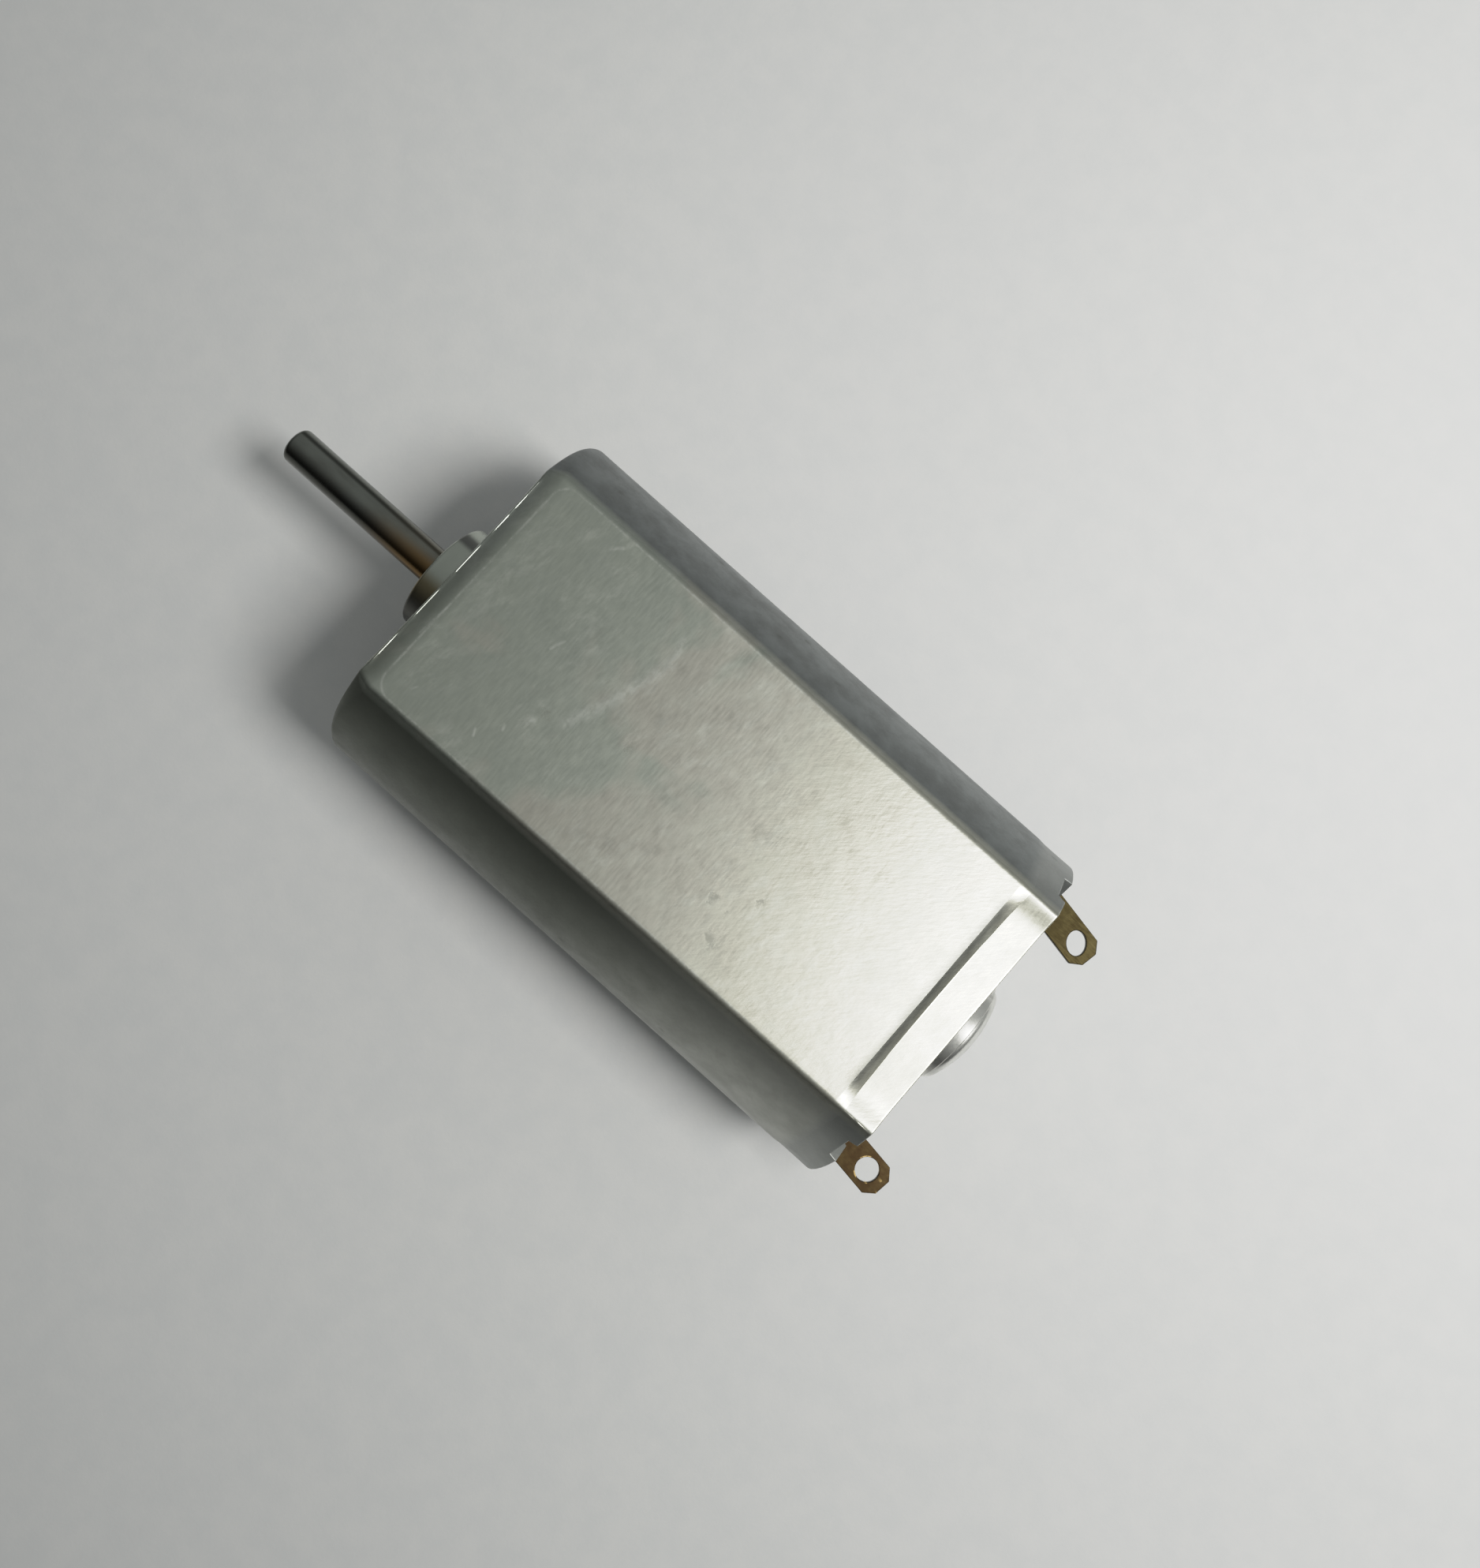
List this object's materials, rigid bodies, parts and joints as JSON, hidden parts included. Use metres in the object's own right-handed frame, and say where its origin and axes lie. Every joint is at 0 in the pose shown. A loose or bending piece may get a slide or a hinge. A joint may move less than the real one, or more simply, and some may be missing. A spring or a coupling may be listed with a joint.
{
  "type": "brushed DC motor",
  "caption": "Small flat-sided brushed DC motor in a drawn steel can, with a plain round output shaft, a front bearing boss, a domed rear cap and two brass solder terminals.",
  "frame": {"origin": "middle of the overall length and width, on the plane of the lower flat the motor lies on", "axes": "+X along the shaft towards its free end, +Y across the motor towards the second curved side, +Z out of the upper flat"},
  "size_m": [0.0488, 0.0204, 0.0154],
  "materials": {
    "plated_steel": "satin zinc plate with fine drawing marks",
    "ground_steel": "ground and polished",
    "polished_steel": "polished pressing",
    "spring_steel": "drawn wire",
    "lamination_steel": "dark oiled sheet edges",
    "bronze": "sintered, oil filled",
    "brass": "rolled sheet, slightly tarnished",
    "copper": "turned",
    "phosphor_bronze": "rolled spring strip",
    "enamelled_copper": "glossy enamel",
    "white_nylon": "moulded, semi-gloss",
    "natural_nylon": "moulded",
    "brown_moulding": "phenolic moulding",
    "red_fibre": "pressed fibre sheet",
    "ferrite": "matte sintered",
    "varistor_ceramic": "matte sintered",
    "carbon": "matte graphite"
  },
  "bodies": {
    "housing": {"can": "plated_steel", "front_bush": "bronze", "rear_bush": "bronze", "rear_cap": "polished_steel", "end_bell": "white_nylon", "terminal_left": "brass", "terminal_right": "brass", "magnet_left": "ferrite", "magnet_right": "ferrite", "magnet_clip": "spring_steel", "thrust_pad": "natural_nylon", "brush_spring_left": "phosphor_bronze", "brush_spring_right": "phosphor_bronze", "brush_left": "carbon", "brush_right": "carbon"},
    "rotor": {"shaft": "ground_steel", "rotor_core": "lamination_steel", "insulator_front": "red_fibre", "insulator_rear": "red_fibre", "coil_1": "enamelled_copper", "coil_2": "enamelled_copper", "coil_3": "enamelled_copper", "commutator_hub": "brown_moulding", "commutator_bar_1": "copper", "commutator_bar_2": "copper", "commutator_bar_3": "copper", "varistor_ring": "varistor_ceramic", "front_washer": "natural_nylon", "front_spacer": "brass", "rear_washer": "natural_nylon"}
  },
  "joints": [
    {"name": "rotor_spin", "type": "hinge", "parent": "housing", "child": "rotor", "pos_m": [0.01194, 0, 0.0077], "axis": [1, 0, 0], "continuous": true}
  ]
}
